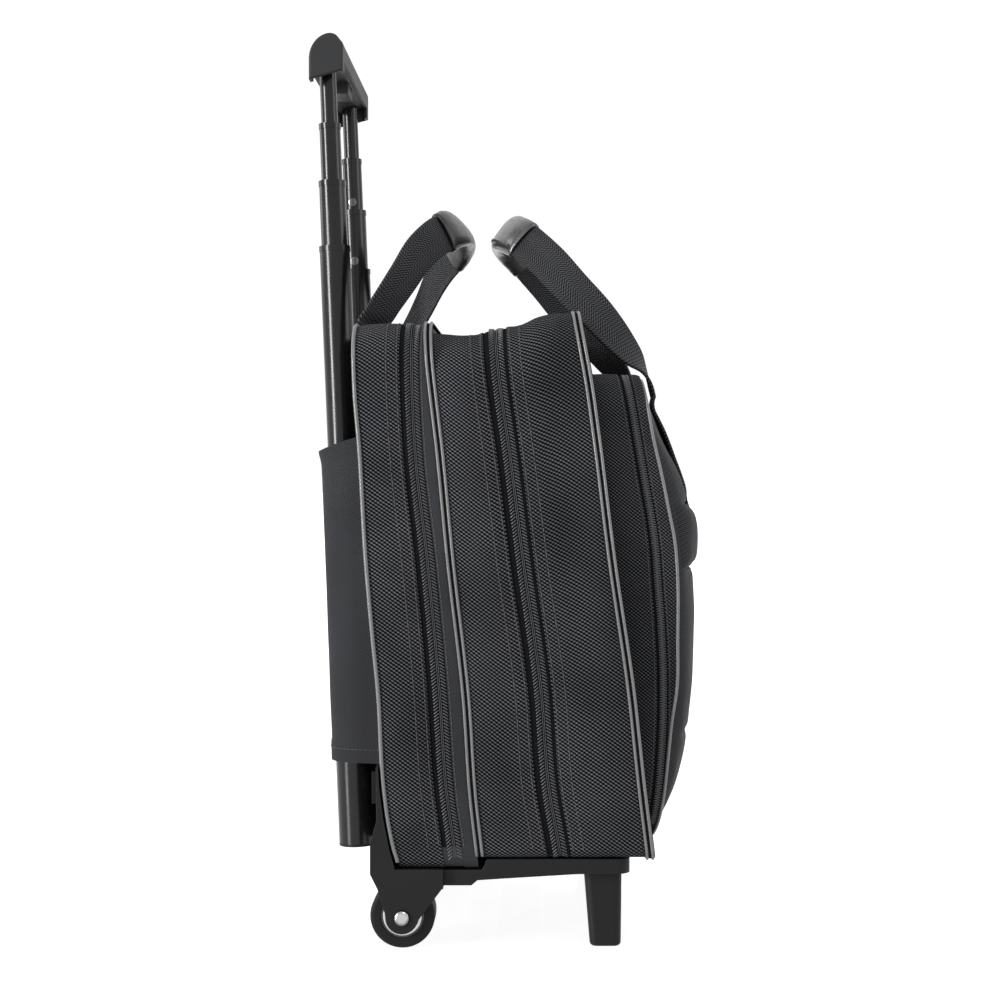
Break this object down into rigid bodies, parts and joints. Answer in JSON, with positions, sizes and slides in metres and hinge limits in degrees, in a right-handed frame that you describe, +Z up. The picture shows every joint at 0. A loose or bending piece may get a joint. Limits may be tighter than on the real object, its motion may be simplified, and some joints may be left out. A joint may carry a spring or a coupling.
{
  "type": "rolling laptop case",
  "caption": "Soft-sided wheeled case with zipped compartments, a front pocket, two carry handles and a telescoping tow handle on a rigid base.",
  "frame": {"origin": "centre of the bounding box on the floor plane, handle drawn out as at rest", "axes": "+Z up; the front pocket faces -Y; +X is the right-hand side for someone facing +Y, along the wheel axle"},
  "size_m": [0.426, 0.2708, 0.6249],
  "materials": {
    "base_plastic": "fine-textured moulded plastic",
    "grip_plastic": "fine-textured moulded plastic",
    "wheel_plastic": "satin",
    "tyre_rubber": "matt",
    "polished_steel": "polished",
    "screw_steel": "dark zinc",
    "tube_metal": "gloss black lacquer",
    "collar_plastic": "satin",
    "board_plastic": "plain",
    "body_fabric": "diagonal twill weave",
    "plain_fabric": "fine plain weave",
    "pad_fabric": "plain weave over foam",
    "piping": "satin piping",
    "zip_tape": "coil chain on tape",
    "zip_metal": "black",
    "webbing": "ribbed webbing",
    "wrap_leather": "glossy, stitched"
  },
  "bodies": {
    "chassis": {"base_tray": "base_plastic", "wheel_housing_left": "base_plastic", "wheel_housing_right": "base_plastic", "front_feet": "base_plastic", "axles": "polished_steel", "tube_housings": "tube_metal", "tube_end_plugs": "collar_plastic", "housing_collars": "collar_plastic", "tube_clamps": "collar_plastic", "back_board": "board_plastic", "back_panel": "body_fabric", "rear_gusset": "body_fabric", "rear_piping": "piping", "trolley_sleeve": "plain_fabric", "laptop_zipper_rear_half": "zip_tape", "rear_handle_anchors": "webbing", "chassis_screws": "screw_steel"},
    "stage4": {"stage4_tubes": "tube_metal"},
    "stage3": {"stage3_tubes": "tube_metal"},
    "stage2": {"stage2_tubes": "tube_metal"},
    "stage1": {"stage1_tubes": "tube_metal", "grip_top_shell": "grip_plastic", "grip_bottom_shell": "grip_plastic", "release_spring": "screw_steel"},
    "release": {"release_button": "collar_plastic"},
    "lock3_left": {"lock_button_stage3_left": "polished_steel"},
    "lock3_right": {"lock_button_stage3_right": "polished_steel"},
    "lock2_left": {"lock_button_stage2_left": "polished_steel"},
    "lock2_right": {"lock_button_stage2_right": "polished_steel"},
    "wheel_left": {"wheel_tyre_left": "tyre_rubber", "wheel_hub_left": "wheel_plastic"},
    "wheel_right": {"wheel_tyre_right": "tyre_rubber", "wheel_hub_right": "wheel_plastic"},
    "mid": {"divider_panel": "body_fabric", "mid_gusset": "body_fabric", "mid_piping": "piping", "mid_zipper_halves": "zip_tape"},
    "front": {"front_panel": "body_fabric", "front_gusset": "body_fabric", "front_piping": "piping", "front_zipper_halves": "zip_tape", "pocket_gusset": "plain_fabric"},
    "cover": {"pocket_cover": "pad_fabric", "pocket_piping": "piping", "pocket_zipper_half": "zip_tape", "front_handle_anchors": "webbing"},
    "rear_handle": {"rear_handle_webbing": "webbing", "rear_handle_wrap": "wrap_leather"},
    "front_handle": {"front_handle_webbing": "webbing", "front_handle_wrap": "wrap_leather"},
    "laptop_slider_left": {"laptop_slider_left": "zip_metal"},
    "laptop_pull_left": {"laptop_pull_left": "zip_metal"},
    "laptop_slider_right": {"laptop_slider_right": "zip_metal"},
    "laptop_pull_right": {"laptop_pull_right": "zip_metal"},
    "main_slider_left": {"main_slider_left": "zip_metal"},
    "main_pull_left": {"main_pull_left": "zip_metal"},
    "main_slider_right": {"main_slider_right": "zip_metal"},
    "main_pull_right": {"main_pull_right": "zip_metal"},
    "pocket_slider": {"pocket_slider": "zip_metal"},
    "pocket_pull": {"pocket_pull": "zip_metal"}
  },
  "joints": [
    {"name": "wheel_left_spin", "type": "hinge", "parent": "chassis", "child": "wheel_left", "pos_m": [-0.1945, 0.0583, 0.021], "axis": [1, 0, 0], "continuous": true},
    {"name": "wheel_right_spin", "type": "hinge", "parent": "chassis", "child": "wheel_right", "pos_m": [0.1945, 0.0583, 0.021], "axis": [1, 0, 0], "continuous": true},
    {"name": "stage4_slide", "type": "slide", "parent": "chassis", "child": "stage4", "axis": [0, 0.0409, 0.9992], "range_m": [-0.118, 0.06]},
    {"name": "stage3_slide", "type": "slide", "parent": "stage4", "child": "stage3", "axis": [0, 0.0409, 0.9992], "range_m": [-0.041, 0.11]},
    {"name": "stage2_slide", "type": "slide", "parent": "stage3", "child": "stage2", "axis": [0, 0.0409, 0.9992], "range_m": [-0.036, 0.11]},
    {"name": "stage1_slide", "type": "slide", "parent": "stage2", "child": "stage1", "axis": [0, 0.0409, 0.9992], "range_m": [-0.027, 0.11]},
    {"name": "release_press", "type": "slide", "parent": "stage1", "child": "release", "axis": [0, 0, -1], "range_m": [0, 0.003], "stiffness_N_per_m": 600, "springref_m": -0.001, "deforming": ["release_spring"]},
    {"name": "lock3_left_press", "type": "slide", "parent": "stage3", "child": "lock3_left", "axis": [-1, 0, 0], "range_m": [0, 0.00082]},
    {"name": "lock2_left_press", "type": "slide", "parent": "stage2", "child": "lock2_left", "axis": [-1, 0, 0], "range_m": [0, 0.00082]},
    {"name": "lock3_right_press", "type": "slide", "parent": "stage3", "child": "lock3_right", "axis": [1, 0, 0], "range_m": [0, 0.00082]},
    {"name": "lock2_right_press", "type": "slide", "parent": "stage2", "child": "lock2_right", "axis": [1, 0, 0], "range_m": [0, 0.00082]},
    {"name": "laptop_compartment_opening", "type": "hinge", "parent": "chassis", "child": "mid", "pos_m": [0, -0.0904, 0.0595], "axis": [1, 0, 0], "range_deg": [0, 12]},
    {"name": "main_compartment_opening", "type": "hinge", "parent": "mid", "child": "front", "pos_m": [0, -0.0904, 0.0595], "axis": [1, 0, 0], "range_deg": [0, 25]},
    {"name": "pocket_opening", "type": "hinge", "parent": "front", "child": "cover", "pos_m": [0, -0.103, 0.0684], "axis": [1, 0, 0], "range_deg": [0, 60]},
    {"name": "rear_handle_swing", "type": "hinge", "parent": "chassis", "child": "rear_handle", "pos_m": [0, 0.0924, 0.397], "axis": [1, 0, 0], "range_deg": [-30, 0]},
    {"name": "front_handle_swing", "type": "hinge", "parent": "cover", "child": "front_handle", "pos_m": [0, -0.1084, 0.364], "axis": [1, 0, 0], "range_deg": [0, 174]},
    {"name": "laptop_slider_left_run", "type": "slide", "parent": "mid", "child": "laptop_slider_left", "axis": [-1, 0, 0], "range_m": [0, 0.14]},
    {"name": "laptop_pull_left_flip", "type": "hinge", "parent": "laptop_slider_left", "child": "laptop_pull_left", "pos_m": [-0.022, 0.05121, 0.4137], "axis": [0, 1, 0], "range_deg": [0, 110]},
    {"name": "laptop_slider_right_run", "type": "slide", "parent": "mid", "child": "laptop_slider_right", "axis": [1, 0, 0], "range_m": [0, 0.14]},
    {"name": "laptop_pull_right_flip", "type": "hinge", "parent": "laptop_slider_right", "child": "laptop_pull_right", "pos_m": [0.022, 0.05121, 0.4137], "axis": [0, -1, 0], "range_deg": [0, 110]},
    {"name": "main_slider_left_run", "type": "slide", "parent": "front", "child": "main_slider_left", "axis": [-1, 0, 0], "range_m": [0, 0.14]},
    {"name": "main_pull_left_flip", "type": "hinge", "parent": "main_slider_left", "child": "main_pull_left", "pos_m": [-0.022, -0.00288, 0.4115], "axis": [0, 1, 0], "range_deg": [0, 110]},
    {"name": "main_slider_right_run", "type": "slide", "parent": "front", "child": "main_slider_right", "axis": [1, 0, 0], "range_m": [0, 0.14]},
    {"name": "main_pull_right_flip", "type": "hinge", "parent": "main_slider_right", "child": "main_pull_right", "pos_m": [0.022, -0.00288, 0.4115], "axis": [0, -1, 0], "range_deg": [0, 110]},
    {"name": "pocket_slider_run", "type": "slide", "parent": "cover", "child": "pocket_slider", "axis": [1, 0, 0], "range_m": [-0.12, 0.12]},
    {"name": "pocket_pull_flip", "type": "hinge", "parent": "pocket_slider", "child": "pocket_pull", "pos_m": [0, -0.0881, 0.3796], "axis": [0, 1, 0], "range_deg": [0, 110]}
  ],
  "couplings": [
    {"joint": "lock3_left_press", "follows": "release_press", "ratio": 0.2667},
    {"joint": "lock3_right_press", "follows": "release_press", "ratio": 0.2667},
    {"joint": "lock2_left_press", "follows": "release_press", "ratio": 0.2667},
    {"joint": "lock2_right_press", "follows": "release_press", "ratio": 0.2667}
  ]
}
